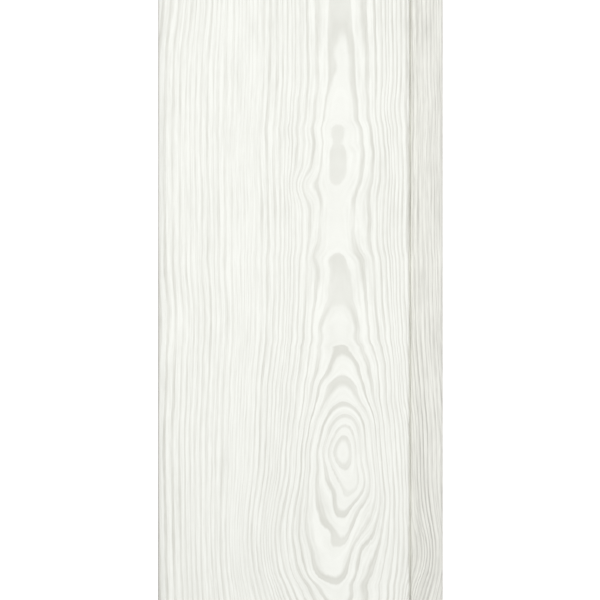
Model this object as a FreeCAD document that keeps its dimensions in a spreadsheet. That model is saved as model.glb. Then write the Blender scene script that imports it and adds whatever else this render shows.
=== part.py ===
# Tongue and groove lining board of planed softwood, one sawn and moulded piece.
#
# The board lies on its back with its face up. Its length runs along Y, its width along X.
# The long edge at low X carries the groove, the one at high X carries the tongue. The tongue
# is wide: its root lies open beside the face as a recessed strip, which stays in sight as a
# shadow gap when the next board is pushed home, and only its outer part enters the groove.
#
# The section is made the way a moulder makes it: a planed blank, then one cutter after another
# along its whole length. Section sketches hold X across the board and Z up, both measured from
# the groove edge at the back, and the finished board is then moved to stand centred on the origin.
import os

import FreeCAD
import Part
import Sketcher

# Driving dimensions, in millimetres: name, value, what it is
SIZES = [
    ("length", 1800, "length of the stick, one that lining boards are sold in"),
    ("thickness", 15, "planed thickness, back to face"),
    ("face_width", 128.6, "width of the face, from the groove edge to the step"),
    ("shadow_gap", 7.9, "part of the tongue that stays open beside the face once joined"),
    ("tongue_reach", 9.5, "part of the tongue that enters the next board's groove"),
    ("tongue_drop", 5, "step from the face down to the tongue"),
    ("tongue_thickness", 5, "thickness of the tongue"),
    ("tongue_play", 0.4, "extra height of the groove over the tongue"),
    ("nose_gap", 0.5, "extra depth of the groove beyond the tongue's reach"),
    ("nose_round", 1.6, "radius on both edges of the tongue's nose"),
    ("groove_round", 0.8, "radius in both inner corners of the groove"),
    ("mouth_chamfer", 0.6, "lead-in on both lips of the groove"),
    ("groove_side_round", 2.2, "radius of the face's edge over the groove"),
    ("tongue_side_round", 1.2, "radius of the face's edge over the step"),
    ("nick_width", 1, "width of the relief nick at the foot of the step"),
    ("nick_depth", 1, "depth of the relief nick below the tongue's upper side"),
    ("back_chamfer", 1, "chamfer along both back edges"),
    ("relief_count", 3, "number of relief grooves in the back"),
    ("relief_pitch", 34, "distance between the relief grooves"),
    ("relief_width", 10, "width of a relief groove at the back surface"),
    ("relief_depth", 1.2, "depth of a relief groove"),
    ("relief_slope", 1, "run of each sloping side of a relief groove"),
    ("least_flat", 0.2, "narrowest flat that stays between two eased edges"),
    ("overcut", 2, "how far each cutter runs clear of the wood"),
]

# Places in the section, as expressions on the sheet
OVERALL_WIDTH = "(sizes.face_width + sizes.shadow_gap + sizes.tongue_reach)"
BACK_SHOULDER = "(sizes.face_width + sizes.shadow_gap)"
TONGUE_TOP = "(sizes.thickness - sizes.tongue_drop)"
TONGUE_BOTTOM = f"({TONGUE_TOP} - sizes.tongue_thickness)"
GROOVE_TOP = f"({TONGUE_TOP} + sizes.tongue_play / 2)"
GROOVE_BOTTOM = f"({TONGUE_BOTTOM} - sizes.tongue_play / 2)"
GROOVE_END = "(sizes.tongue_reach + sizes.nose_gap)"
UPPER_LIP = f"(sizes.thickness - {GROOVE_TOP})"
BEYOND_RIGHT = f"({OVERALL_WIDTH} + sizes.overcut)"
FIRST_RELIEF = f"({BACK_SHOULDER} / 2 - (sizes.relief_count - 1) * sizes.relief_pitch / 2)"

doc = FreeCAD.newDocument("tongue_and_groove_board")


def make_sheet():
    """The spreadsheet of driving dimensions, one row each, with its alias and its meaning."""
    sheet = doc.addObject("Spreadsheet::Sheet", "sizes")
    for row, (alias, value, meaning) in enumerate(SIZES, start=1):
        sheet.set(f"A{row}", alias)
        sheet.set(f"B{row}", str(value))
        sheet.setAlias(f"B{row}", alias)
        sheet.set(f"C{row}", meaning)
    doc.recompute()
    return sheet


def size_of(expression):
    """The number that an expression on the sheet stands for."""
    return float(sheet.evalExpression(expression.replace("sizes.", "")))


def origin_feature(body, role):
    """The body's own origin plane or axis with this role."""
    return next(f for f in body.Origin.OriginFeatures if f.Role == role)


def section_sketch(body, name, corners):
    """A closed outline on the section plane. Each corner is a pair of expressions, X and Z."""
    sketch = body.newObject("Sketcher::SketchObject", name)
    sketch.AttachmentSupport = [(origin_feature(body, "XZ_Plane"), "")]
    sketch.MapMode = "FlatFace"
    points = [FreeCAD.Vector(size_of(x), size_of(z), 0) for x, z in corners]
    for start, end in zip(points, points[1:] + points[:1]):
        sketch.addGeometry(Part.LineSegment(start, end))
    for index, (x, z) in enumerate(corners):
        following = (index + 1) % len(corners)
        sketch.addConstraint(Sketcher.Constraint("Coincident", index, 2, following, 1))
        for kind, place, expression in (
            ("DistanceX", points[index].x, x),
            ("DistanceY", points[index].y, z),
        ):
            constraint = Sketcher.Constraint(kind, -1, 1, index, 1, place)
            number = sketch.addConstraint(constraint)
            sketch.setExpression(f"Constraints[{number}]", expression)
    doc.recompute()
    return sketch


def rectangle(left, right, bottom, top):
    """The corners of an upright rectangle in the section."""
    return [(left, bottom), (right, bottom), (right, top), (left, top)]


def cut_along(body, name, corners):
    """One cutter run along the whole board: it takes the outline out of the section."""
    sketch = section_sketch(body, f"{name}_sketch", corners)
    before = body.Shape.Volume
    pocket = body.newObject("PartDesign::Pocket", name)
    pocket.Profile = sketch
    pocket.Midplane = True
    pocket.setExpression("Length", "sizes.length + 2 * sizes.overcut")
    doc.recompute()
    if not body.Shape.Volume < before:
        raise RuntimeError(f"{name} cuts nothing")
    return pocket


def long_edge(shape, x, z):
    """The name of the lengthwise edge that runs through X, Z of the section."""
    place = (size_of(x), size_of(z))
    for number, edge in enumerate(shape.Edges, start=1):
        ends = [(vertex.X, vertex.Z) for vertex in edge.Vertexes]
        if all(abs(a - b) < 1e-4 for end in ends for a, b in zip(end, place)):
            return f"Edge{number}"
    raise RuntimeError(f"no lengthwise edge at {place}")


def ease_edges(body, name, kind, size, places, wall):
    """Rounds (kind Fillet) or bevels (kind Chamfer) the lengthwise edges at places.

    The size is its own value on the sheet, and at most what the wall beside the edge has room for.
    """
    base = body.Tip
    feature = body.newObject(f"PartDesign::{kind}", name)
    feature.Base = (base, [long_edge(base.Shape, x, z) for x, z in places])
    quantity = "Radius" if kind == "Fillet" else "Size"
    feature.setExpression(quantity, f"min(sizes.{size}; {wall} - sizes.least_flat)")
    doc.recompute()
    return feature


def planed_blank(body):
    """The planed stick before any cutter: overall width, including the tongue, by thickness."""
    corners = rectangle("0", OVERALL_WIDTH, "0", "sizes.thickness")
    pad = body.newObject("PartDesign::Pad", "blank")
    pad.Profile = section_sketch(body, "blank_sketch", corners)
    pad.Midplane = True
    pad.setExpression("Length", "sizes.length")
    doc.recompute()


def tongue_edge(body):
    """The wide tongue: a rebate from the face, a narrower one from the back, and a root nick."""
    beyond_face = "(sizes.thickness + sizes.overcut)"
    face_rebate = rectangle("sizes.face_width", BEYOND_RIGHT, TONGUE_TOP, beyond_face)
    cut_along(body, "face_rebate", face_rebate)
    back_rebate = rectangle(BACK_SHOULDER, BEYOND_RIGHT, "-sizes.overcut", TONGUE_BOTTOM)
    cut_along(body, "back_rebate", back_rebate)
    nick_end = "(sizes.face_width + sizes.nick_width)"
    nick_floor = f"({TONGUE_TOP} - sizes.nick_depth)"
    nick_top = f"({TONGUE_TOP} + sizes.overcut)"
    cut_along(body, "root_nick", rectangle("sizes.face_width", nick_end, nick_floor, nick_top))
    nose = [(OVERALL_WIDTH, TONGUE_TOP), (OVERALL_WIDTH, TONGUE_BOTTOM)]
    ease_edges(body, "nose_rounding", "Fillet", "nose_round", nose, "sizes.tongue_thickness / 2")


def groove_edge(body):
    """The groove that takes the next board's tongue, rounded inside and eased at its mouth."""
    outline = rectangle("-sizes.overcut", GROOVE_END, GROOVE_BOTTOM, GROOVE_TOP)
    cut_along(body, "groove", outline)
    inner = [(GROOVE_END, GROOVE_TOP), (GROOVE_END, GROOVE_BOTTOM)]
    half_height = f"({GROOVE_TOP} - {GROOVE_BOTTOM}) / 2"
    ease_edges(body, "groove_rounding", "Fillet", "groove_round", inner, half_height)
    lips = [("0", GROOVE_TOP), ("0", GROOVE_BOTTOM)]
    thinner_cheek = f"min({UPPER_LIP}; {GROOVE_BOTTOM})"
    ease_edges(body, "groove_mouth", "Chamfer", "mouth_chamfer", lips, f"{thinner_cheek} / 2")


def face_edges(body):
    """The softly rounded edges of the face, the larger one over the groove."""
    over_groove = [("0", "sizes.thickness")]
    lip = f"{UPPER_LIP} - sizes.mouth_chamfer"
    ease_edges(body, "groove_side_rounding", "Fillet", "groove_side_round", over_groove, lip)
    over_step = [("sizes.face_width", "sizes.thickness")]
    step = "sizes.tongue_drop"
    ease_edges(body, "tongue_side_rounding", "Fillet", "tongue_side_round", over_step, step)


def back_relief(body):
    """Bevelled back edges and the shallow grooves that keep the board from cupping."""
    back_edges = [("0", "0"), (BACK_SHOULDER, "0")]
    cheek = f"{GROOVE_BOTTOM} - sizes.mouth_chamfer"
    ease_edges(body, "back_bevels", "Chamfer", "back_chamfer", back_edges, cheek)
    half_mouth = "sizes.relief_width / 2"
    half_floor = "(sizes.relief_width / 2 - sizes.relief_slope)"
    corners = [
        (f"{FIRST_RELIEF} - {half_mouth}", "-sizes.overcut"),
        (f"{FIRST_RELIEF} + {half_mouth}", "-sizes.overcut"),
        (f"{FIRST_RELIEF} + {half_mouth}", "0"),
        (f"{FIRST_RELIEF} + {half_floor}", "sizes.relief_depth"),
        (f"{FIRST_RELIEF} - {half_floor}", "sizes.relief_depth"),
        (f"{FIRST_RELIEF} - {half_mouth}", "0"),
    ]
    first = cut_along(body, "relief_groove", corners)
    row = body.newObject("PartDesign::LinearPattern", "relief_row")
    row.Originals = [first]
    row.Direction = (origin_feature(body, "X_Axis"), [""])
    row.setExpression("Length", "(sizes.relief_count - 1) * sizes.relief_pitch")
    row.setExpression("Occurrences", "sizes.relief_count")
    body.Tip = row
    doc.recompute()


def make_board():
    """The board, cut in its own section frame and then centred on the origin, back at Z 0."""
    body = doc.addObject("PartDesign::Body", "board")
    body.Label = "board"
    planed_blank(body)
    tongue_edge(body)
    groove_edge(body)
    face_edges(body)
    back_relief(body)
    body.setExpression(".Placement.Base.x", f"-{OVERALL_WIDTH} / 2")
    doc.recompute()
    return body


def check_document():
    """Stops if any object of the document failed to compute."""
    for item in doc.Objects:
        if "Invalid" in item.State or "Error" in item.State:
            raise RuntimeError(f"{item.Label} failed: {item.State}")


def export(part):
    """Writes a sub-part's shape to parts/LABEL.step, once it is known to be sound."""
    shape = part.Shape
    if shape.isNull() or not shape.isValid() or len(shape.Solids) != 1:
        raise RuntimeError(f"{part.Label} is not one valid solid")
    os.makedirs("parts", exist_ok=True)
    shape.exportStep(f"parts/{part.Label}.step")
    box = shape.BoundBox
    corners = [round(n, 3) for n in (box.XMin, box.XMax, box.YMin, box.YMax, box.ZMin, box.ZMax)]
    print(part.Label, "volume", round(shape.Volume, 1), "mm3, corners", corners)


sheet = make_sheet()
board = make_board()
check_document()
export(board)
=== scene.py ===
# %% [markdown]
# A brushed, white stained lining board
#
# The real object is one stick of pine. A moulder planed it, cut the tongue, the groove and the nick,
# a steel brush opened its face, and a thin white stain went over what stays in sight on the wall.
# This script gives that stick its finish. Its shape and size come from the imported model, so the
# first step is to load that as a frame and to keep its box.

import math

import bpy
import numpy as np
from mathutils.geometry import delaunay_2d_cdt
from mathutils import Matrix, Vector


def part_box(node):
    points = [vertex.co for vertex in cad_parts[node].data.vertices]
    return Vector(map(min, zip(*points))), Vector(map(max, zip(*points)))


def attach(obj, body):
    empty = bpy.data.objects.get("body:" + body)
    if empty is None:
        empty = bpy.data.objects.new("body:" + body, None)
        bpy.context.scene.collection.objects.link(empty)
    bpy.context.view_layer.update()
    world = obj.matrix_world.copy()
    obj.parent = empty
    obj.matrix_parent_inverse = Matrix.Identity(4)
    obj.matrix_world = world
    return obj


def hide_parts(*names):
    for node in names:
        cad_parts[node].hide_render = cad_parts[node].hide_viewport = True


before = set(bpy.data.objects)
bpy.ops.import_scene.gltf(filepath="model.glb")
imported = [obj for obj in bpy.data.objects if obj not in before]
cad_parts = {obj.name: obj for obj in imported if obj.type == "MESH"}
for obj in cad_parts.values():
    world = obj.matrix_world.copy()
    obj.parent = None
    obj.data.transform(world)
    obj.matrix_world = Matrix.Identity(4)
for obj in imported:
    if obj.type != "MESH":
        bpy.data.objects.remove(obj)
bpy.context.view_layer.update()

# %% [markdown]
# The section
#
# A moulded board is one section carried along a straight line, so the mesh can be made the same way:
# an outline, repeated at stations along the length. The other way would be to dress the packed
# solid's own triangles, but they are long and few, and the growth rings need points to sit on.
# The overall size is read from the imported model, and the sizes of the section are the same as in its
# source. All are in millimetres, as on a drawing, and become metres once, when the mesh is made.

# %% Size of the board
MM = 0.001
low, high = (np.array(corner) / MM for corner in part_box("board"))
WIDTH, LENGTH, THICK = high - low
print(f"board {WIDTH:.1f} x {LENGTH:.1f} x {THICK:.1f} mm")

# %% Sizes of the section
# The face, and how far below it the top of the tongue lies
FACE_WIDTH, STEP = 128.6, 5.0
# The tongue, and how far it reaches past the shoulder under it
TONGUE_THICK, TONGUE_REACH = 5.0, 9.5
# The dark nick at the foot of the step
NICK_WIDTH, NICK_DEPTH = 1.0, 1.0
# The groove's floor and roof above the back, and its depth from the edge
GROOVE_LOW, GROOVE_HIGH, GROOVE_DEEP = 4.8, 10.2, 10.0
# Bevels on the edges of the back, and on the lips of the groove
BEVEL, LIP = 1.0, 0.6
# The relief grooves in the back: spacing, half of the mouth, half of the floor, and depth
RELIEF_PITCH, RELIEF_MOUTH, RELIEF_FLOOR, RELIEF_DEEP = 34.0, 5.0, 4.0, 1.2
# Roundings over the groove side, over the step, at the tongue's nose and inside the groove
GROOVE_SIDE_ROUND, STEP_ROUND, NOSE_ROUND, GROOVE_ROUND = 2.2, 1.2, 1.6, 0.8
# The touch of sandpaper on every other edge
ARRIS = 0.25

TONGUE_TOP = THICK - STEP
TONGUE_UNDER = TONGUE_TOP - TONGUE_THICK
SHOULDER = WIDTH - TONGUE_REACH
print(f"tongue from {TONGUE_UNDER:.1f} to {TONGUE_TOP:.1f} mm up, shoulder {SHOULDER:.1f} mm across")

# %% [markdown]
# The outline
#
# The outline could be typed in point by point, but then no size could change. Here it is given by its
# corners alone, from the grooved edge and from the back, each with the radius of its rounding and
# the finish of the flat that follows it. Going round it clockwise lets the faces point outwards.
# One function turns a corner into an arc, and another joins the arcs by flats cut into even steps.

# %% Relief grooves in the back
FACE, TONGUE, RAW, SAWN = range(4)

relief = []
for k in (1, 0, -1):
    middle = SHOULDER / 2 + k * RELIEF_PITCH
    relief += [
        (middle + RELIEF_MOUTH, 0.0, ARRIS, RAW),
        (middle + RELIEF_FLOOR, RELIEF_DEEP, ARRIS, RAW),
        (middle - RELIEF_FLOOR, RELIEF_DEEP, ARRIS, RAW),
        (middle - RELIEF_MOUTH, 0.0, ARRIS, RAW),
    ]
print("relief grooves", len(relief) // 4)

# %% Corners of the outline: across, up, rounding, and the finish of the flat that follows
CORNERS = [
    (0.0, THICK, GROOVE_SIDE_ROUND, FACE),
    (FACE_WIDTH, THICK, STEP_ROUND, FACE),
    (FACE_WIDTH, TONGUE_TOP - NICK_DEPTH, 0.0, TONGUE),
    (FACE_WIDTH + NICK_WIDTH, TONGUE_TOP - NICK_DEPTH, 0.0, TONGUE),
    (FACE_WIDTH + NICK_WIDTH, TONGUE_TOP, ARRIS, TONGUE),
    (WIDTH, TONGUE_TOP, NOSE_ROUND, TONGUE),
    (WIDTH, TONGUE_UNDER, NOSE_ROUND, RAW),
    (SHOULDER, TONGUE_UNDER, 0.0, RAW),
    (SHOULDER, BEVEL, ARRIS, RAW),
    (SHOULDER - BEVEL, 0.0, ARRIS, RAW),
    *relief,
    (BEVEL, 0.0, ARRIS, RAW),
    (0.0, BEVEL, ARRIS, RAW),
    (0.0, GROOVE_LOW - LIP, ARRIS, RAW),
    (LIP, GROOVE_LOW, ARRIS, RAW),
    (GROOVE_DEEP, GROOVE_LOW, GROOVE_ROUND, RAW),
    (GROOVE_DEEP, GROOVE_HIGH, GROOVE_ROUND, RAW),
    (LIP, GROOVE_HIGH, ARRIS, RAW),
    (0.0, GROOVE_HIGH + LIP, ARRIS, FACE),
]
print(len(CORNERS), "corners")

# %% Arc of one corner
# Degrees to a step, on roundings of more than this radius and on the smaller ones
LARGE_RADIUS, LARGE_TURN, SMALL_TURN = 1, 11, 30


def rounded(before, corner, after, radius):
    """Points of one corner's arc: start + radius * (sin(t) * way in + (1 - cos(t)) * side),
    where t runs from 0 to the angle by which the outline turns there"""
    way_in = (corner - before) / np.linalg.norm(corner - before)
    way_out = (after - corner) / np.linalg.norm(after - corner)
    if radius == 0:
        return corner[None]
    side = way_out - (way_in @ way_out) * way_in
    side /= np.linalg.norm(side)
    turn = math.acos(way_in @ way_out)
    start = corner - way_in * radius * math.tan(turn / 2)
    degrees = LARGE_TURN if radius > LARGE_RADIUS else SMALL_TURN
    t = np.linspace(0, turn, max(2, round(math.degrees(turn) / degrees)) + 1)[:, None]
    return start + radius * (np.sin(t) * way_in + (1 - np.cos(t)) * side)


square = np.array([[0.0, 0.0], [0.0, 9.0], [9.0, 9.0]])
print("the rounding over the groove side gets", len(rounded(*square, GROOVE_SIDE_ROUND)), "points")

# %% The whole outline
# How far apart the points of a flat lie, by its finish
SPACING = {FACE: 1.5, TONGUE: 1.5, RAW: 3.0}


def outline_of(corners):
    """The arcs and flats one after another, a flat being its start plus even shares of the way to
    its end, and the finish of each edge"""
    places = np.array([c[:2] for c in corners], float)
    arcs = []
    for i, c in enumerate(corners):
        after = places[(i + 1) % len(places)]
        arcs.append(rounded(places[i - 1], places[i], after, c[2]))
    points, finish = [], []
    for i, c in enumerate(corners):
        start, end = arcs[i][-1], arcs[(i + 1) % len(arcs)][0]
        parts = max(1, round(np.linalg.norm(end - start) / SPACING[c[3]]))
        flat = start + (end - start) * np.linspace(0, 1, parts + 1)[1:-1, None]
        points += [arcs[i], flat]
        into_arc = corners[i - 1][3]
        finish += [into_arc] * (len(arcs[i]) - 1) + [c[3]] * parts
    return np.concatenate(points), np.array(finish)


outline, edge_finish = outline_of(CORNERS)
count = len(outline)
print("outline", count, "points")

# %% [markdown]
# Carrying the outline along the length
#
# A moulder pushes the board past its cutters, and the outline is carried along in the same straight
# line. Blender could extrude it, but then all the stations would stand equally far apart. Here they
# stand close where the rings bend most, round the eye, and further apart elsewhere. The last one at
# each end is drawn in by a quarter of a millimetre, as sandpaper leaves a sawn edge.

# %% Stations
CLOSE_HALF, CLOSE_STEP, WIDE_STEP = 160.0, 2.0, 8.0

wide_steps = round((LENGTH / 2 - CLOSE_HALF) / WIDE_STEP)
close = np.arange(-CLOSE_HALF, CLOSE_HALF + CLOSE_STEP, CLOSE_STEP)
far = np.linspace(CLOSE_HALF, LENGTH / 2 - ARRIS, wide_steps)[1:]
stations = np.concatenate([[-LENGTH / 2], -far[::-1], close, far, [LENGTH / 2]])
print(len(stations), "stations")

# %% Points of the sides: the outline less its outward direction times what is drawn in
along = np.roll(outline, -1, 0) - np.roll(outline, 1, 0)
outward = np.stack([-along[:, 1], along[:, 0]], 1) / np.linalg.norm(along, axis=1)[:, None]
drawn_in = np.zeros(len(stations))
drawn_in[[0, -1]] = ARRIS

swept = np.empty((len(stations), count, 3))
swept[..., 0] = outline[:, 0] - drawn_in[:, None] * outward[:, 0]
swept[..., 1] = stations[:, None]
swept[..., 2] = outline[:, 1] - drawn_in[:, None] * outward[:, 1]
print("side points", swept.shape[0] * swept.shape[1])

# %% Faces of the sides: four neighbours on the grid of station and outline point
row, column = np.meshgrid(np.arange(len(stations) - 1), np.arange(count), indexing="ij")
ahead = (column + 1) % count
quads = np.stack([row * count + column, row * count + ahead,
                  (row + 1) * count + ahead, (row + 1) * count + column], -1).reshape(-1, 4)
quad_finish = np.tile(edge_finish, len(stations) - 1)
print(len(quads), "side faces")

# %% [markdown]
# The sawn ends
#
# A saw cut each end square, and the rings show on it as arcs. One face with many corners would close
# the end, but it has nothing in its middle that a ring could sit on. So a grid of points is laid
# inside the outline, and Delaunay triangles, which avoid long thin ones, join it to the rim.

# %% Points inside the end
CAP_STEP = 0.8
RIM_GAP = 0.5 * CAP_STEP


def inside(points, ring, margin):
    """True for points inside the closed ring, from where a straight line outwards crosses it an odd
    number of times, and more than the margin away from its points"""
    a, b = ring, np.roll(ring, -1, 0)
    x, z = points[:, :1], points[:, 1:]
    spans = (a[:, 1] > z) != (b[:, 1] > z)
    rise = np.where(a[:, 1] == b[:, 1], 1.0, b[:, 1] - a[:, 1])
    crossing = a[:, 0] + (z - a[:, 1]) * (b[:, 0] - a[:, 0]) / rise
    odd = (spans & (x < crossing)).sum(1) % 2 == 1
    clear = np.hypot(x - a[:, 0], z - a[:, 1]).min(1) > margin
    return odd & clear


rim = swept[0][:, [0, 2]]
grid = np.stack(np.meshgrid(np.arange(0, WIDTH, CAP_STEP), np.arange(0, THICK, CAP_STEP)), -1)
grid = grid.reshape(-1, 2)
grid = grid[inside(grid, rim, RIM_GAP)]
print(len(grid), "points inside each end")

# %% Triangles of the end
# Points nearer to each other than this, in millimetres, would be taken as one
SAME_POINT = 1e-6
# The kind of result that keeps the triangles inside the loop and no others
INSIDE_ONLY = 1

end_points = np.concatenate([rim, grid]).tolist()
loop = list(range(count))[::-1]
_, _, triangles, origin, _, _ = delaunay_2d_cdt(end_points, [], [loop], INSIDE_ONLY, SAME_POINT)
cap = np.array([[origin[i][0] for i in triangle] for triangle in triangles])
print(len(cap), "triangles in each end")

# %% [markdown]
# The growth rings
#
# A tree lays down one ring a year round its heart. In this board the heart runs lengthwise a few
# centimetres under the face, and it rises and sinks. Where it comes nearest, the saw opened the
# innermost rings as an eye. The figure could be drawn on the face as a picture, but then tongue,
# back and ends wouldn't match it. So the rings are made as in the tree: every point of the mesh
# gets its distance from the heart, and the widths of the rings turn that into a number of years.
#
# The heart's way is given by places along the board, close together where the photo shows how it
# goes and far apart beyond, and a smooth curve runs through them.

# %% Depth of the heart: place along the board, and how deep the heart lies under the face
HEART_DEPTH = (
    (-900, 25), (-760, 28.5), (-620, 31.5), (-500, 30.3), (-400, 28.6), (-300, 30.8), (-225, 31.2),
    (-175, 30.1), (-160, 28.5), (-154, 27.5), (-150, 27.1), (-146.5, 26.9), (-141, 25.9),
    (-134, 25.35), (-127, 24.85), (-123, 24.35), (-119, 23.95), (-115, 23.6), (-110, 23.1),
    (-107, 22.75), (-104, 22.4), (-100, 22.05), (-88, 21.5), (-78, 20.9), (-68.5, 21.5),
    (-63.5, 22.1), (-58, 23.3), (-51.5, 24.9), (-43.5, 25.9), (-37.5, 26.9), (-33.3, 27.25),
    (-28, 27.83), (-26, 28), (-23.5, 28.1), (-22.4, 28.32), (-14, 28.4), (-8, 28.7), (-4, 28.95),
    (0, 29.23), (5, 29.3), (15, 29.4), (22, 29.47), (25, 29.9), (30, 30.1), (40, 30.2), (54, 30.12),
    (57.5, 29.9), (60, 29.68), (63, 29.52), (70, 29.45), (77, 29.5), (80, 29.7), (85, 29.6),
    (89, 29.67), (90.8, 29.95), (96, 30.2), (103, 30.35), (109, 30.6), (118, 30.7), (128, 30.75),
    (140, 30.95), (154, 31), (220, 31.9), (330, 31), (450, 28.3), (540, 27), (620, 28.8),
    (740, 31.8), (900, 33),
)
print("heart", min(depth for _, depth in HEART_DEPTH), "mm under the face where it comes nearest")

# %% Line of the heart: place along the board, and how far to the side of the middle it lies
HEART_LINE = (
    (-900, 33), (-650, 27), (-420, 25), (-260, 22.5), (-154, 21.5), (-140, 21.5), (-124, 22.6),
    (-108.5, 22.6), (-98, 23.4), (-88, 22.9), (-78, 21.9), (-67, 22.8), (-60, 23.2), (-51, 22.4),
    (-42, 22), (-33, 22.2), (-21.5, 20.9), (-8, 19.7), (15.5, 20), (30, 19.1), (40, 18.6), (52, 19),
    (64.5, 20.6), (77, 21.5), (89, 20.5), (101.5, 20.5), (112, 21), (125, 20.8), (154, 20.2),
    (300, 18), (500, 13), (700, 11), (900, 6),
)
# The same line without its small bends
CALM_LINE = (
    (-900, 33), (-650, 27), (-420, 25), (-260, 22.5), (-154, 22.2), (-60, 22.2), (10, 20.4),
    (154, 20.2), (300, 18), (500, 13), (700, 11), (900, 6),
)
# How far from the heart the small bends die out, since rings further out don't follow them
BENDS_REACH = 26.0
print(len(HEART_LINE), "places along the heart")

# %% A smooth curve through places


def smooth(points, at):
    """Cubic Hermite curve through (place, value) points: between two neighbours it runs from one
    value to the other, and leaves and meets them with slopes taken from their own neighbours"""
    place, value = np.array(points, float).T
    slope = np.gradient(value, place)
    at = np.clip(at, place[0], place[-1])
    i = np.clip(np.searchsorted(place, at) - 1, 0, len(place) - 2)
    gap = place[i + 1] - place[i]
    t = (at - place[i]) / gap
    return ((1 + 2 * t) * (1 - t) ** 2 * value[i] + t * (1 - t) ** 2 * gap * slope[i]
            + t * t * (3 - 2 * t) * value[i + 1] + t * t * (t - 1) * gap * slope[i + 1])


print(f"heart {smooth(HEART_DEPTH, np.array([0.0]))[0]:.2f} mm deep in the middle of the board")

# %% [markdown]
# The widths of the rings
#
# Wet years give wide rings and dry years narrow ones. Evenly spaced rings would be simpler, but the
# eye knows at once that no tree grew so. The widths are therefore listed year by year, as they are
# counted from the eye towards the left edge of the face. On the right the tree grew more slowly, so
# a second list adds years there.

# %% Width of each ring from the heart outwards
RING_WIDTHS = (
    3.2, 3.4, 3.3, 3.2, 3.0, 4.5, 0.9, 0.6, 1.2, 1.6, 2.0, 1.4, 1.6, 1.7, 2.4, 2.0, 1.8, 1.2, 0.8,
    1.6, 1.6, 2.2, 2.9, 2.5, 2.4, 1.9, 1.2, 1.5, 1.8, 1.5, 2.5, 3.2, 3.2, 1.4, 3.2, 2.8, 2.8, 2.4,
    2.4, 2.9, 3.8, 3.9, 3.4, 3.0, 2.6, 2.8, 3.0, 2.4, 2.2,
)
# So many of the innermost rings never reach the face, and the years are counted from there
UNSEEN = 6
RADII = np.concatenate([[0.0], np.cumsum(RING_WIDTHS)])
YEARS = np.arange(len(RADII)) - UNSEEN

# Place across the board, and how many more years have passed there than the widths give
CLOSER_RINGS = ((46, 0), (55.6, 0.8), (73, 2.3))
print(len(RING_WIDTHS), f"rings, {RADII[-1]:.0f} mm from the heart to the last")

# %% [markdown]
# What pushed the rings aside
#
# Knots, wind and old wounds push a tree's rings out of their circles, and that gives this face its
# two arches, its pale patches and its forked lines. Noise could bend the rings too, but not where the
# real ones bend. So each push is one soft round bump: where it is, how far it reaches across and
# along the board, and by how many millimetres it moves the rings to the right. The places are in
# millimetres from the middle of the board. All were set one after another, until the lines in the
# render ran as they do in the photo.

# %% Pushes in the left part of the face: across, along, half width, half height, push
# The broad one beside the eye carries the rings there to the left
LEFT_PUSHES = (
    (-8, -126, 27, 31, -10),
    (-9, -42, 25, 22, -2.4),
    (-62, -9, 26, 16, 1.5),
    (-19, 84, 10, 20, -1),
    (-49, 110, 12, 40, -1),
    (-62, 156, 20, 22, 3.2),
)
print(len(LEFT_PUSHES), "pushes on the left")

# %% Pushes round the eye
# The eye isn't an even oval: its rings draw together and spread from place to place
EYE_PUSHES = (
    (42, -156, 12, 10, 2),
    (38, -141, 9, 9, -0.3),
    (9, -140, 6, 9, -1),
    (26.5, -138, 8.7, 14.5, -3.4),
    (47, -136, 13, 30, 3),
    (30, -124, 6, 9, -2.3),
    (15, -119, 5, 6, 2.2),
    (12, -110, 4, 6, 0.9),
    (30, -108, 5, 8, -1.2),
    (40, -108, 8, 9, 1),
    (16.5, -101, 5, 9, 2.6),
    (25, -97, 6, 6, 1.9),
    (8, -93, 9, 9, -1.2),
    (30.5, -92, 6, 8, 2.7),
    (43, -65, 13, 24, -2.4),
)
print(len(EYE_PUSHES), "pushes round the eye")

# %% Pushes over the heart, above the eye
# These bend the sides of both arches and set the pale patches between them
HEART_PUSHES = (
    (31, -46, 6, 8, -0.8),
    (15, -35, 4, 6, 1),
    (5, -26, 9, 15, -1.5),
    (17, -23, 4, 5, -0.8),
    (11.5, -18, 3.5, 9, -1.8),
    (30, -1, 8, 9, 1),
    (6, 0, 7, 10, -0.8),
    (4, 12, 8, 14, -1.1),
    (34, 20, 6, 30, 1.1),
    (7, 24, 3, 5, -2),
    (27, 31, 5, 12, -0.9),
    (9.5, 32, 4, 12, -1),
    (35, 41, 4, 8, 1.2),
    (2.8, 58, 7, 7, -4.4),
    (19, 74, 6, 20, -3),
    (25, 76, 4, 14, -1),
    (8, 77, 4, 10, 0.7),
    (33, 77, 7, 12, 0.9),
    (30, 100, 6, 8, 0.6),
    (5, 110, 8, 46, 1.2),
    (15, 138, 4, 12, -1),
)
print(len(HEART_PUSHES), "pushes over the heart")

# %% Pushes in the right part of the face and on the tongue
# The strongest one is the sweep of the rings on the tongue beside the eye
RIGHT_PUSHES = (
    (67, -132, 11.5, 23, 7.8),
    (40, -36, 9, 17, 2.1),
    (39, 0, 14, 28, 1.1),
    (43, 52, 14, 14, 1),
    (60, 60, 8, 130, 0.8),
    (66, 74, 12, 12, -0.7),
    (47, 88, 11, 20, -1),
    (66, 98, 12, 11, 0.7),
    (47, 100, 9, 8, -1.2),
)
PUSHES = LEFT_PUSHES + EYE_PUSHES + HEART_PUSHES + RIGHT_PUSHES
print(len(PUSHES), "pushes in all")

# %% Swells: across, along, half width, half height, millimetres added to the distance from the heart
SWELLS = (
    (23, -122, 2.5, 14, -0.25),
    (24.3, 21, 3, 5, 0.25),
    (16, -119, 5, 5, 0.3),
)
print(len(SWELLS), "swells")

# %% Years at any place of the board


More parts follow.
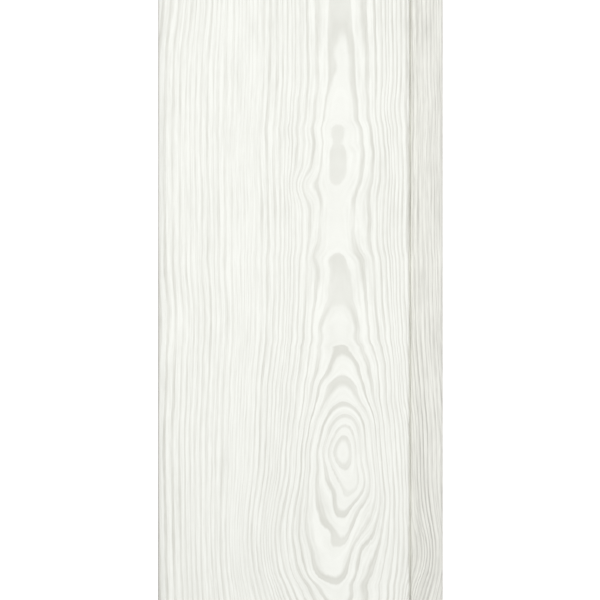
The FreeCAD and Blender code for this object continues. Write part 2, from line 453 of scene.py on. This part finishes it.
def bumps(x, y, spots):
    """Sum of round bumps: amount * exp(-(x / half width)^2 - (y / half height)^2) about each place"""
    total = np.zeros_like(x)
    for cx, cy, half_x, half_y, amount in spots:
        total += amount * np.exp(-((x - cx) / half_x) ** 2 - ((y - cy) / half_y) ** 2)
    return total


def years_at(points):
    """Three numbers for each place of the board. The years are those that the ring widths give for
    the distance from the heart, the root of side^2 + down^2. The lean is how many years pass in a
    millimetre sideways. The steepness is 0 where the rings lie flat and 1 where they stand upright"""
    x, y, z = points.T
    across = x - WIDTH / 2
    calm = smooth(CALM_LINE, y)
    side = across - bumps(across, y, PUSHES) - calm
    side -= (smooth(HEART_LINE, y) - calm) * np.exp(-(side / BENDS_REACH) ** 2)
    down = smooth(HEART_DEPTH, y) - (THICK - z)
    radius = np.hypot(side, down) + bumps(across, y, SWELLS)
    years = np.interp(radius, RADII, YEARS) + np.interp(across, *np.array(CLOSER_RINGS).T)
    ring = np.clip(np.searchsorted(RADII, radius) - 1, 0, len(RING_WIDTHS) - 1)
    upright = side / np.maximum(radius, 1)
    return years, upright / np.array(RING_WIDTHS)[ring], np.abs(upright)


centre_years = years_at(np.array([[WIDTH / 2, 0.0, THICK]]))[0][0]
print(f"{centre_years:.1f} years at the middle of the face")

# %% [markdown]
# Summer wood
#
# Each ring is pale spring wood that turns into darker summer wood, and stops at the winter. One
# darkness for all would look printed. Two lists therefore say how dark each year's summer wood is,
# and what share of the year it takes. Between two entries the values run evenly, and two entries
# close together make a jump at the winter.

# %% Darkness of the summer wood: year, and how dark it is from 0 to 1
DARKNESS = (
    (-6, 0.55), (1, 0.62), (1.05, 0.3), (2, 0.3), (2.05, 0.56), (3, 0.56), (4, 0.6), (4.2, 0.5),
    (5, 0.5), (5.05, 0.6), (6, 0.62), (7, 0.56), (8, 0.58), (9, 0.6), (11, 0.52), (13, 0.4),
    (15, 0.5), (17, 0.65), (18, 0.35), (19, 0.25), (24, 0.28), (26, 0.5), (27, 0.3), (29, 0.5),
    (31, 0.32), (34, 0.55), (36, 0.65), (43, 0.5),
)
print("darkest summer wood", max(dark for _, dark in DARKNESS))

# %% Share of the summer wood: year, and what part of it is summer wood
SUMMER = (
    (-6, 0.45), (1, 0.45), (2, 0.5), (3, 0.55), (4, 0.55), (4.3, 0.45), (5, 0.45), (5.05, 0.47),
    (6, 0.47), (6.05, 0.54), (7, 0.54), (7.05, 0.38), (8, 0.38), (8.05, 0.5), (12, 0.55),
    (43, 0.55),
)
# Where it is thicker: across, along, half width, half height, share of a year
THICKENINGS = (
    # Round the eye
    (15, -143, 9, 5, 0.1),
    (11, -110, 6, 12, 0.05),
    # Over the heart, above the eye
    (20, -44, 10, 6, 0.2),
    (20, 2, 9, 8, 0.12),
    (9, 13, 4, 12, 0.15),
    (20, 14, 14, 22, 0.05),
    (29.5, 22, 4, 14, 0.2),
    (31, 72, 5, 12, 0.2),
    (27.5, 112, 4, 40, 0.14),
    (16, 119, 3, 4.5, 0.3),
    (16.5, 134, 3.5, 9, 0.2),
    (21, 140, 14, 36, 0.05),
    (20.5, 153, 8, 12, 0.3),
)
print(len(THICKENINGS), "places with more summer wood")

# %% [markdown]
# Where the stain shows the wood, and painted light and shade
#
# The stain was wiped on by cloth, so it covers the rings better in some places than in others. The
# colour also carries painted shade: darker on the rounded edges, which turn away from the light, and
# over a stretch of the face where the light falls off, and painted light in the nick, which lifts its
# shade. Noise would give such patches anywhere. Soft bumps, as for the pushes, put each in its place
# on the board. A half height of 2000 mm runs the whole length.

# %% Clearer or fainter lines: across, along, half width, half height, share added
CRISPER = (
    # Left part of the face
    (-40, -125, 45, 55, 0.15),
    (-18, -110, 9, 36, -0.2),
    (-30, 70, 60, 90, -0.13),
    (-66, 110, 8, 60, -0.18),
    # Round the eye
    (18, -143, 10, 7, 0.35),
    (35, -85, 9, 22, -0.4),
    (20, -80, 22, 60, 0.07),
    (14, -68, 14, 18, 0.2),
    # Over the heart, above the eye
    (20, 14, 10, 20, -0.22),
    (19, 74, 8, 22, -0.3),
    (20, 150, 14, 30, -0.2),
    # Right part of the face, and the tongue
    (66, -140, 8, 50, 0.15),
    (41, -18, 5, 14, -0.25),
    (42, 0, 18, 2000, 0.16),
    (57.6, 0, 1.2, 2000, -0.5),
    (68, 0, 6, 2000, 0.72),
    (68, 120, 6, 80, -0.08),
    (48, 140, 16, 20, 0.35),
)
print(len(CRISPER), "places where the lines are clearer or fainter")

# %% Painted shade, painted light and lighter or darker stain: across, along, half width, half height, share of the light added
SHADES = (
    # Painted shade: the face darker about 190 mm from the middle, where the light falls off, and two
    # more darker stretches further along
    (0, -190, 400, 130, -0.075),
    (0, 420, 400, 160, -0.04),
    (0, -640, 400, 150, -0.03),
    # Lighter wood round the eye
    (20, -122, 14, 24, 0.022),
    # Painted light in the nick and on the strip beside it, lifting the shade that lies there
    (56.1, 0, 0.6, 2000, 0.07),
    (56.3, -110, 0.5, 70, 0.06),
)
# Painted shade, in the same columns, on the rounded edges of the face and of the tongue's top alone,
# where they turn away from the light
PAINTED_EDGE_SHADE = (
    (-73, 0, 0.33, 2000, -0.54),
    (-73, -110, 0.33, 80, -0.26),
    (-71, 0, 1.5, 2000, -0.06),
    (73, 0, 0.6, 2000, -0.02),
)
print(len(SHADES) + len(PAINTED_EDGE_SHADE), "shades")

# %% [markdown]
# The mesh
#
# The arrays above hold every point and face. They could be handed to Blender one by one, but
# foreach_set copies a whole array at once, which takes a fraction of the time. What the rings need
# is kept on the points as named numbers, called attributes, and the materials read them by name.
# They could also be worked out in nodes, but the long lists are far easier to read here.

# %% Mesh from arrays


def mesh_of(name, points, four_sided, three_sided, finishes):
    """A mesh from points in millimetres, four-sided and three-sided faces, and a finish for each"""
    mesh = bpy.data.meshes.new(name)
    mesh.vertices.add(len(points))
    mesh.vertices.foreach_set("co", (points * MM).astype(np.float32).ravel())
    corners = np.concatenate([four_sided.ravel(), three_sided.ravel()])
    mesh.loops.add(len(corners))
    mesh.loops.foreach_set("vertex_index", corners.astype(np.int32))
    sizes = np.concatenate([np.full(len(four_sided), 4), np.full(len(three_sided), 3)])
    first = np.concatenate([[0], np.cumsum(sizes)[:-1]])
    mesh.polygons.add(len(sizes))
    mesh.polygons.foreach_set("loop_start", first.astype(np.int32))
    mesh.polygons.foreach_set("material_index", finishes.astype(np.int32))
    mesh.update(calc_edges=True)
    mesh.validate()
    return mesh


# %% Both ends: the near end's triangles, and their mirror image at the far end
side_points = swept.reshape(-1, 3)
near_grid = np.stack([grid[:, 0], np.full(len(grid), -LENGTH / 2), grid[:, 1]], 1)
far_grid = near_grid * [1, -1, 1]
points = np.concatenate([side_points, near_grid, far_grid])

last_station = (len(stations) - 1) * count
first_near = len(side_points)
first_far = first_near + len(grid)
on_rim = cap < count
near_triangles = np.where(on_rim, cap, cap - count + first_near)
far_triangles = np.where(on_rim, cap + last_station, cap - count + first_far)[:, ::-1]
three = np.concatenate([near_triangles, far_triangles])
finishes = np.concatenate([quad_finish, np.full(len(three), SAWN)])
print(len(points), "points,", len(three), "triangles in both ends")

# %% The board's mesh
# Neighbouring faces that turn by more degrees than this meet in a crisp edge
CRISP_EDGE = 25

centred = points - [WIDTH / 2, 0, 0]
lining = mesh_of("lining_board", centred, quads, three, finishes)
lining.shade_smooth()
lining.set_sharp_from_angle(angle=math.radians(CRISP_EDGE))
print("mesh", len(lining.polygons), "faces,", 2 * len(quads) + len(three), "triangles")

# %% Numbers that the materials read
# How much of the brushing shows where the rings lie flat, and how fast it grows as they stand up
BRUSHED_LEAST, BRUSHED_GAIN = 0.25, 2.2


def keep(mesh, name, values):
    """Puts one number per point into the mesh"""
    data = mesh.attributes.new(name, "FLOAT", "POINT").data
    data.foreach_set("value", values.astype(np.float32))


x, y, z = centred.T
years, lean, steep = years_at(points)
dark = np.interp(years, *np.array(DARKNESS).T) * (1 + bumps(x, y, CRISPER))
summer = np.interp(years, *np.array(SUMMER).T) + bumps(x, y, THICKENINGS)
keep(lining, "years", years)
keep(lining, "lean", lean)
keep(lining, "brushed", np.minimum(BRUSHED_LEAST + BRUSHED_GAIN * steep, 1))
keep(lining, "dark", dark)
keep(lining, "summer", summer)
print(f"years {years.min():.1f} to {years.max():.1f}, darkness {dark.min():.2f} to {dark.max():.2f}")

# %% How light the colour is at each point: the stain's tone, with painted shade and painted light
edge_foot = np.where(x < 0, THICK - GROOVE_SIDE_ROUND, TONGUE_TOP - NOSE_ROUND)
# Painted shade on the rounded edges, only above their foot, and painted light and shade along the
# board
tone_and_painted_light = 1 + bumps(x, y, SHADES) + bumps(x, y, PAINTED_EDGE_SHADE) * (z > edge_foot)
keep(lining, "tone_and_painted_light", tone_and_painted_light)
print(f"light {tone_and_painted_light.min():.2f} to {tone_and_painted_light.max():.2f}")

# %% [markdown]
# The wood and its finishes
#
# The board is one piece of wood in four finishes, so one recipe makes them all: the lines of summer
# wood, fibres that run with them, a soft cloud of lighter and darker wood, and two colours to mix
# between. A picture of wood would be quicker, but it would repeat, and it would stop at each edge.
# These nodes read the numbers on the mesh, so the rings run on round every edge.

# %% Colours and nodes


def linear(code):
    """Linear colour of an sRGB hex code: the share over 12.92 near black, and otherwise the share
    plus 0.055, over 1.055, to the power 2.4"""
    srgb = [int(code[i:i + 2], 16) / 255 for i in (1, 3, 5)]
    return tuple(c / 12.92 if c <= 0.04045 else ((c + 0.055) / 1.055) ** 2.4 for c in srgb) + (1.0,)


def add(tree, kind, links=(), **settings):
    """Adds a node. Links and plain values go by socket name or number, its own settings by keyword"""
    node = tree.nodes.new(kind)
    for name, value in settings.items():
        setattr(node, name, value)
    for socket, value in dict(links).items():
        if isinstance(value, bpy.types.NodeSocket):
            tree.links.new(value, node.inputs[socket])
        else:
            node.inputs[socket].default_value = value
    return node


print("white is", linear("#FFFFFF"))

# %% Noise in the wood


def speckle(tree, wide, long, deep, detail=2.0):
    """Noise about 0 whose blots are so many millimetres wide, long and deep"""
    place = add(tree, "ShaderNodeTexCoord").outputs["Object"]
    per_metre = (1 / MM / wide, 1 / MM / long, 1 / MM / deep)
    scaled = add(tree, "ShaderNodeMapping", {"Vector": place, "Scale": per_metre})
    noise = {"Vector": scaled.outputs[0], "Scale": 1.0, "Detail": detail}
    noise = add(tree, "ShaderNodeTexNoise", noise)
    about_0 = {0: noise.outputs["Fac"], 1: 0.5}
    return add(tree, "ShaderNodeMath", about_0, operation="SUBTRACT").outputs[0]


def streak(tree, years, per_year, long):
    """Noise about 0 that runs with the rings: so many blots to the year, each so many mm long"""
    place = add(tree, "ShaderNodeTexCoord").outputs["Object"]
    y = add(tree, "ShaderNodeSeparateXYZ", {0: place}).outputs["Y"]
    y = add(tree, "ShaderNodeMath", {0: y, 1: 1 / MM / long}, operation="MULTIPLY").outputs[0]
    across = add(tree, "ShaderNodeMath", {0: years, 1: per_year}, operation="MULTIPLY").outputs[0]
    both = add(tree, "ShaderNodeCombineXYZ", {"X": across, "Y": y}).outputs[0]
    noise = {"Vector": both, "Scale": 1.0, "Detail": 1.0}
    noise = add(tree, "ShaderNodeTexNoise", noise, noise_dimensions="2D")
    about_0 = {0: noise.outputs["Fac"], 1: 0.5}
    return add(tree, "ShaderNodeMath", about_0, operation="SUBTRACT").outputs[0]


# %% [markdown]
# Lines of summer wood
#
# The fraction of a year says how far the year has gone, and the line is dark from the start of summer
# to the winter. Straight from that, the lines would be as smooth as wire. Real ones waver, because
# the fibres wind a little and the brush frays them. So the years are moved by three noises first:
# a slow sway, a short shake, and a ragged edge. The real teeth of a frayed line are a millimetre or
# two long, too fine to show from here, so they are drawn 9 mm long.

# %% How the lines waver
# How far the lines sway and shake, in millimetres, and how wide and long one such bend is
SWAY, SWAY_WIDE, SWAY_LONG = 0.7, 7, 110
SHAKE, SHAKE_WIDE, SHAKE_LONG = 0.75, 1.4, 26
# How ragged their edges are, as a share of a year, and how wide and long one tooth is
RAGGED, RAGGED_WIDE, RAGGED_LONG = 0.11, 2.5, 9


def moved_years(tree):
    """The years on the mesh, moved by sway and shake times the lean, and by the ragged edge"""
    years = add(tree, "ShaderNodeAttribute", attribute_name="years").outputs["Fac"]
    lean = add(tree, "ShaderNodeAttribute", attribute_name="lean").outputs["Fac"]
    sway = speckle(tree, SWAY_WIDE, SWAY_LONG, SWAY_WIDE)
    sway = add(tree, "ShaderNodeMath", {0: sway, 1: SWAY}, operation="MULTIPLY").outputs[0]
    shake = {0: speckle(tree, SHAKE_WIDE, SHAKE_LONG, SHAKE_WIDE), 1: SHAKE, 2: sway}
    shake = add(tree, "ShaderNodeMath", shake, operation="MULTIPLY_ADD").outputs[0]
    moved = {0: shake, 1: lean, 2: years}
    moved = add(tree, "ShaderNodeMath", moved, operation="MULTIPLY_ADD").outputs[0]
    ragged = {0: speckle(tree, RAGGED_WIDE, RAGGED_LONG, RAGGED_WIDE), 1: RAGGED, 2: moved}
    return add(tree, "ShaderNodeMath", ragged, operation="MULTIPLY_ADD").outputs[0]


print("lines waver by up to", SWAY + SHAKE, "mm times the noise")

# %% The line of each year
# The share of a year in which summer wood grows to its full darkness, and where the winter begins
SUMMER_RISE, WINTER_START = 0.22, 0.89
# Each year's line fades and darkens along the board: how long a stretch is, how far apart in the
# noise two years lie, so that they don't fade together, the noise that counts, and its darkness
FADE_LONG, FADE_APART = 30, 5.7
FADE_NOISE, FADE_DARKNESS = (-0.2, 0.15), (0.72, 1.06)


def ring_lines(tree, years):
    """Darkness of the summer wood, 0 to 1. Over each year it rises softly once the summer begins,
    keeps the year's own darkness, and falls softly to nothing from the winter's start"""
    share = add(tree, "ShaderNodeMath", {0: years}, operation="FRACT").outputs[0]
    summer = add(tree, "ShaderNodeAttribute", attribute_name="summer").outputs["Fac"]
    start = add(tree, "ShaderNodeMath", {0: 1.0, 1: summer}, operation="SUBTRACT").outputs[0]
    full = add(tree, "ShaderNodeMath", {0: start, 1: SUMMER_RISE}, operation="ADD").outputs[0]
    rise = {"Value": share, "From Min": start, "From Max": full}
    rise = add(tree, "ShaderNodeMapRange", rise, interpolation_type="SMOOTHSTEP").outputs[0]
    winter = {"Value": share, "From Min": WINTER_START, "To Min": 1.0, "To Max": 0.0}
    winter = add(tree, "ShaderNodeMapRange", winter, interpolation_type="SMOOTHSTEP").outputs[0]
    year = add(tree, "ShaderNodeMath", {0: years}, operation="FLOOR").outputs[0]
    fade = {"Value": streak(tree, year, FADE_APART, FADE_LONG),
            "From Min": FADE_NOISE[0], "From Max": FADE_NOISE[1],
            "To Min": FADE_DARKNESS[0], "To Max": FADE_DARKNESS[1]}
    fade = add(tree, "ShaderNodeMapRange", fade).outputs[0]
    dark = add(tree, "ShaderNodeAttribute", attribute_name="dark").outputs["Fac"]
    dark = add(tree, "ShaderNodeMath", {0: dark, 1: fade}, operation="MULTIPLY").outputs[0]
    line = add(tree, "ShaderNodeMath", {0: rise, 1: dark}, operation="MULTIPLY").outputs[0]
    return add(tree, "ShaderNodeMath", {0: line, 1: winter}, operation="MULTIPLY").outputs[0]


print(f"summer wood is full after {SUMMER_RISE} of a year and ends from {WINTER_START}")

# %% [markdown]
# Fibres, colour and relief
#
# A softwood fibre is about 3 mm long and 0.03 mm across, far thinner than a pixel of the render, which
# is half a millimetre. Fibres are therefore drawn as bundles, a few to a ring and some centimetres
# long, with shorter pores between them. The steel brush lowers the soft wood and leaves the summer
# wood standing by less than a tenth of a millimetre. Points in the mesh can't be that fine, so a
# bump in the material does it. An IOR of 1.45 is usual for bare wood and for thin stain, and so is a
# roughness of 0.6, while a sawn end is rougher.

# %% Fibres
# Bundles of fibres to a year, which makes them 0.7 mm wide in a ring of 2.5 mm, and their length in mm
FIBRES_PER_YEAR, FIBRES_LONG = 3.4, 32
# The same for the pores, which are 0.4 mm wide
PORES_PER_YEAR, PORES_LONG = 6.0, 8
# How strong the pores are beside the fibres
PORES_SHARE = 0.5


def fibres(tree, years):
    """Pores times their share plus fibres, about 0, times how much the brush opened the wood there"""
    pores = {0: streak(tree, years, PORES_PER_YEAR, PORES_LONG), 1: PORES_SHARE,
             2: streak(tree, years, FIBRES_PER_YEAR, FIBRES_LONG)}
    both = add(tree, "ShaderNodeMath", pores, operation="MULTIPLY_ADD").outputs[0]
    brushed = add(tree, "ShaderNodeAttribute", attribute_name="brushed").outputs["Fac"]
    return add(tree, "ShaderNodeMath", {0: both, 1: brushed}, operation="MULTIPLY").outputs[0]


print(FIBRES_PER_YEAR, "bundles of fibres and", PORES_PER_YEAR, "pores to a year")

# %% Recipe of a wood finish
# The soft clouds are as wide as a few rings, and fall off smoothly
CLOUD_WIDE, CLOUD_LONG, CLOUD_DETAIL = 9, 60, 1.0
# How much more the fibres count than the clouds, and how far the level is lifted, as a share of
# their gain, so that both can lighten the wood as well as darken it
FIBRES_IN_COLOUR, LEVEL_LIFT = 3, 0.5
# How deep the fibres lie in the relief beside the height of the lines
FIBRES_IN_RELIEF = -0.6
WOOD_IOR = 1.45


def wood_finish(name, pale, deep, roughness, line_gain, fibre_gain, relief):
    """Wood whose colour runs from pale to deep by the level: lines times their gain, plus fibres and
    clouds times theirs. The relief, in millimetres, is the lines less a part of the fibres"""
    material = bpy.data.materials.new(name)
    material.use_nodes = True
    tree = material.node_tree
    tree.nodes.clear()
    years = moved_years(tree)
    lines = ring_lines(tree, years)
    fibre = fibres(tree, years)
    cloud = speckle(tree, CLOUD_WIDE, CLOUD_LONG, CLOUD_WIDE, CLOUD_DETAIL)
    level = add(tree, "ShaderNodeMath", {0: lines, 1: line_gain}, operation="MULTIPLY").outputs[0]
    for noise, gain in ((fibre, fibre_gain * FIBRES_IN_COLOUR), (cloud, fibre_gain)):
        level = {0: noise, 1: gain, 2: level}
        level = add(tree, "ShaderNodeMath", level, operation="MULTIPLY_ADD").outputs[0]
    level = {0: level, 1: fibre_gain * LEVEL_LIFT}
    level = add(tree, "ShaderNodeMath", level, operation="ADD").outputs[0]
    colour = {"Factor": level, "A": linear(pale), "B": linear(deep)}
    colour = add(tree, "ShaderNodeMix", colour, data_type="RGBA", clamp_factor=True)
    # The tone scales the colour, and holds painted shade and painted light besides the stain's own
    # tone
    tone_and_painted_light = add(tree, "ShaderNodeAttribute", attribute_name="tone_and_painted_light").outputs["Fac"]
    colour = {0: colour.outputs["Result"], "Scale": tone_and_painted_light}
    colour = add(tree, "ShaderNodeVectorMath", colour, operation="SCALE").outputs[0]
    height = {0: fibre, 1: FIBRES_IN_RELIEF, 2: lines}
    height = add(tree, "ShaderNodeMath", height, operation="MULTIPLY_ADD").outputs[0]
    bump = {"Strength": 1.0, "Distance": relief * MM, "Height": height}
    bump = add(tree, "ShaderNodeBump", bump).outputs[0]
    shader = add(tree, "ShaderNodeBsdfPrincipled", {
        "Base Color": colour, "Roughness": roughness, "IOR": WOOD_IOR, "Normal": bump})
    add(tree, "ShaderNodeOutputMaterial", {"Surface": shader.outputs[0]})
    return material


# %% [markdown]
# The four finishes
#
# White stain on pine is a thin pigment in water. It could be a coat over a wood colour, with two
# shaders, but it soaks in and leaves no film, so one shader with pale colours says the same. Raw wood
# is warmer, and its rings stand out more. Cut fibre ends swallow light, so a sawn end is darker.

# %% The finishes, by the numbers that the faces carry
FINISHES = {
    # Chalky white with pale grey lines and a matt, slightly furrowed surface
    FACE: wood_finish("white_stain_on_brushed_pine", "#F9FAF4", "#D9D9D1",
                      roughness=0.62, line_gain=0.97, fibre_gain=0.28, relief=0.08),
    # The same stain wiped thinner below the face, so its lines show stronger, and its colours a shade
    # darker and greyer, which is painted shade for the tongue lying lower than the face
    TONGUE: wood_finish("white_stain_on_the_tongue", "#F1F1EA", "#C3C2BB",
                        roughness=0.62, line_gain=0.84, fibre_gain=0.38, relief=0.08),
    # Honey coloured and smooth from the planer's knives, with a faint satin shine
    RAW: wood_finish("planed_raw_pine", "#EFDCB9", "#CDA673",
                     roughness=0.6, line_gain=0.9, fibre_gain=0.25, relief=0.03),
    # Darker, dull and rough, with the rings as arcs
    SAWN: wood_finish("sawn_pine_end", "#E9D3AC", "#C59C68",
                      roughness=0.75, line_gain=0.9, fibre_gain=0.35, relief=0.1),
}
print("finishes", [material.name for material in FINISHES.values()])

# %% [markdown]
# The piece
#
# The mesh becomes an object, takes its finishes in the order of their numbers, and stands for the
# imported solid, which stays for collisions. It sits at the origin, with its place in its mesh. It
# could be several pieces, one for each finish, but the real board is one, and so is this.

# %% The piece
board = bpy.data.objects.new("lining_board", lining)
bpy.context.scene.collection.objects.link(board)
for finish in sorted(FINISHES):
    lining.materials.append(FINISHES[finish])
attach(board, "root")
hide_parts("board")
print("piece", board.name, "with", len(lining.materials), "finishes")

# %% [markdown]
# The floor
#
# The photo has a plain white ground. A bright lamp could burn a pale floor out to white, but it would
# burn out the board as well. So the floor is a plain matt grey that glows a little, and only for what
# the camera or a reflection sees. The board gets no light from that glow, and its soft shadow stays.

# %% What is seen


def seen(tree):
    """1 for what the camera, a reflection or a glass sees, and 0 for light on its way elsewhere"""
    path = add(tree, "ShaderNodeLightPath").outputs
    total = {0: path["Is Camera Ray"], 1: path["Is Glossy Ray"]}
    total = add(tree, "ShaderNodeMath", total, operation="MAXIMUM").outputs[0]
    total = {0: total, 1: path["Is Transmission Ray"]}
    return add(tree, "ShaderNodeMath", total, operation="MAXIMUM").outputs[0]


# %% Finish of the floor: matt grey, and its glow where it is seen
FLOOR_GREY, FLOOR_LIFT = "#E0E0E0", 0.55

white = bpy.data.materials.new("white_floor")
white.use_nodes = True
tree = white.node_tree
tree.nodes.clear()
matt = add(tree, "ShaderNodeBsdfDiffuse", {"Color": linear(FLOOR_GREY)})
lift = add(tree, "ShaderNodeMath", {0: seen(tree), 1: FLOOR_LIFT}, operation="MULTIPLY")
glow = add(tree, "ShaderNodeEmission", {"Color": (1, 1, 1, 1), "Strength": lift.outputs[0]})
both = add(tree, "ShaderNodeAddShader", {0: matt.outputs[0], 1: glow.outputs[0]})
add(tree, "ShaderNodeOutputMaterial", {"Surface": both.outputs[0]})
print("floor finish", white.name)

# %% Floor: one large square, a hair below the board so that they don't share a plane
FLOOR_HALF, FLOOR_Z = 60.0, -0.0002

corners = [(x * FLOOR_HALF, y * FLOOR_HALF, FLOOR_Z) for x, y in ((-1, -1), (1, -1), (1, 1), (-1, 1))]
floor_mesh = bpy.data.meshes.new("floor")
floor_mesh.from_pydata(corners, [], [(0, 1, 2, 3)])
floor_mesh.materials.append(white)
floor = bpy.data.objects.new("floor", floor_mesh)
bpy.context.scene.collection.objects.link(floor)
print("floor", 2 * FLOOR_HALF, "m square")

# %% [markdown]
# The light
#
# The photo was taken in flat light with hardly a shadow. Area lamps would do that near the middle and
# fall off along 1.8 m of board. An even white sky and one wide sun from straight above light every
# place alike. Together they come to about 1, the level at which a colour renders as it is written.

# %% Sky
SKY, SUN = 0.47, 0.53

world = bpy.data.worlds.new("studio")
bpy.context.scene.world = world
world.use_nodes = True
tree = world.node_tree
tree.nodes.clear()
strength = {"Value": seen(tree), "To Min": SKY, "To Max": 1.0}
strength = add(tree, "ShaderNodeMapRange", strength).outputs[0]
sky = add(tree, "ShaderNodeBackground", {"Color": (1, 1, 1, 1), "Strength": strength})
add(tree, "ShaderNodeOutputWorld", {"Surface": sky.outputs[0]})
print("sky", SKY)

# %% Sun: a flat white surface below it renders as written at a strength of pi
SUN_WIDE = 60

lamp = bpy.data.lights.new("soft_overhead", "SUN")
lamp.energy = SUN * math.pi
lamp.angle = math.radians(SUN_WIDE)
lamp_object = bpy.data.objects.new("soft_overhead", lamp)
bpy.context.scene.collection.objects.link(lamp_object)
print("sun", SUN, "and", SUN_WIDE, "degrees wide")

# %% [markdown]
# The camera
#
# The photo looks straight down on the middle of the board and shows a good 300 mm of its length, with
# both edges parallel. A camera near by would show the sides of the board lean outwards. A long lens
# from far away keeps them hidden, as in the photo, and its height follows from the width in view.

# %% Camera
# Width of the picture at the face, and its middle beside the board's, in millimetres
PHOTO_WIDE, PHOTO_MIDDLE = 307.2, -0.3
LENS, SENSOR = 200.0, 36.0

camera_data = bpy.data.cameras.new("camera")
camera_data.lens, camera_data.sensor_width = LENS, SENSOR
camera = bpy.data.objects.new("camera", camera_data)
bpy.context.scene.collection.objects.link(camera)
camera.location = (PHOTO_MIDDLE * MM, 0, (THICK + PHOTO_WIDE * LENS / SENSOR) * MM)
bpy.context.scene.camera = camera
print(f"camera {camera.location.z:.3f} m up")

# %% [markdown]
# Colours as written
#
# Standard shows a colour as it is written, where Blender's usual view would soften the whites.

# %% Colour management
bpy.context.scene.view_settings.view_transform = "Standard"
